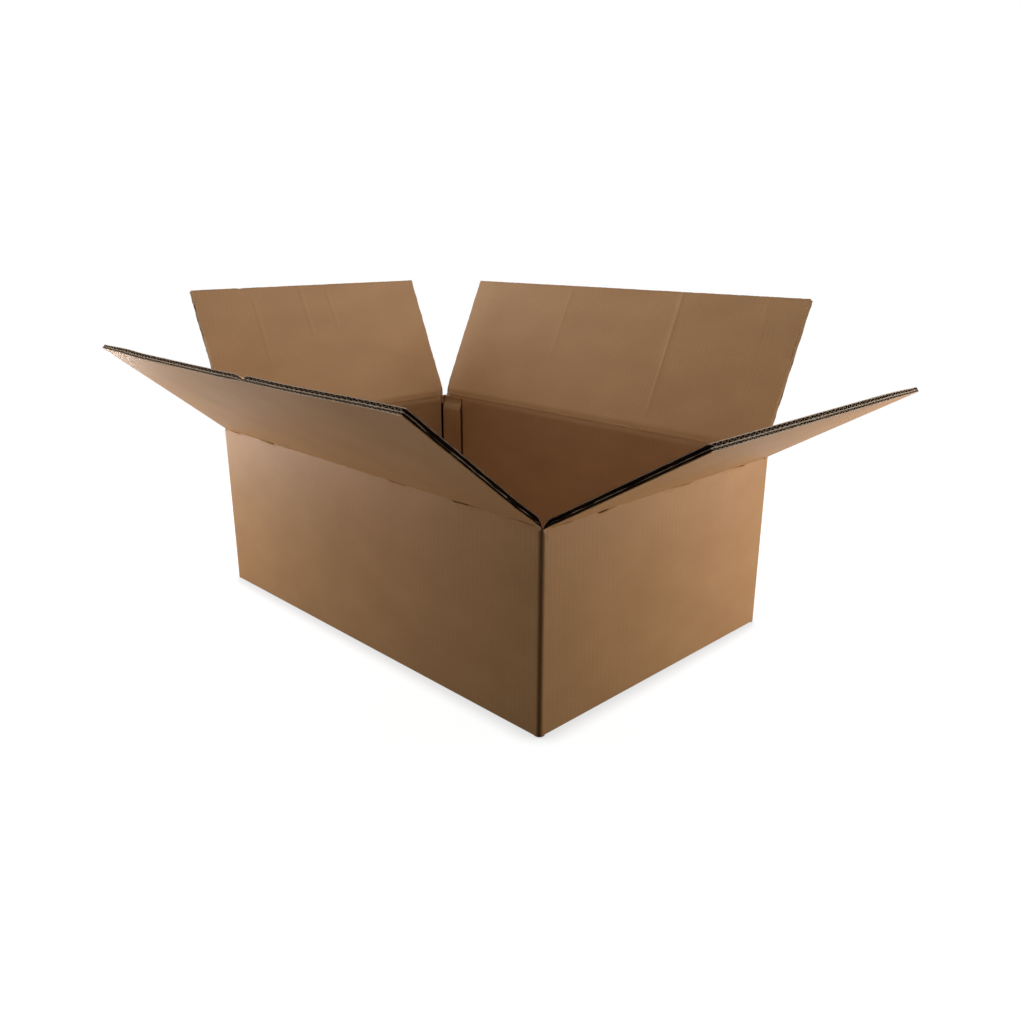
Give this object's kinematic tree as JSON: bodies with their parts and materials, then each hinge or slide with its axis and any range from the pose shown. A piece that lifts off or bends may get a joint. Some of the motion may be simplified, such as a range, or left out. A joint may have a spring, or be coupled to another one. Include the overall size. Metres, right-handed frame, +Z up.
{
  "type": "open cardboard box",
  "caption": "Open slotted carton of double-wall corrugated board, its top flaps hinged at crushed scores and its bottom flaps folded shut.",
  "frame": {"origin": "centre of the carton's underside, on the floor", "axes": "+X along the long walls towards the right short wall, +Y towards the back long wall, +Z up"},
  "size_m": [0.8277, 0.6175, 0.3915],
  "materials": {
    "kraft_board": "matte uncoated brown kraft liner"
  },
  "bodies": {
    "carton": {"box_body": "kraft_board"},
    "front_flap_panel": {"front_flap": "kraft_board"},
    "back_flap_panel": {"back_flap": "kraft_board"},
    "right_flap_panel": {"right_flap": "kraft_board"},
    "left_flap_panel": {"left_flap": "kraft_board"}
  },
  "joints": [
    {"name": "front_flap_crease", "type": "hinge", "parent": "carton", "child": "front_flap_panel", "pos_m": [0, -0.1916, 0.2172], "axis": [1, 0, 0], "range_deg": [-140.5, 99.5]},
    {"name": "back_flap_crease", "type": "hinge", "parent": "carton", "child": "back_flap_panel", "pos_m": [0, 0.1916, 0.2172], "axis": [-1, 0, 0], "range_deg": [-115.5, 124.5]},
    {"name": "right_flap_crease", "type": "hinge", "parent": "carton", "child": "right_flap_panel", "pos_m": [0.295, 0, 0.2135], "axis": [0, 1, 0], "range_deg": [-149, 91]},
    {"name": "left_flap_crease", "type": "hinge", "parent": "carton", "child": "left_flap_panel", "pos_m": [-0.295, 0, 0.2135], "axis": [0, -1, 0], "range_deg": [-113, 127]}
  ]
}
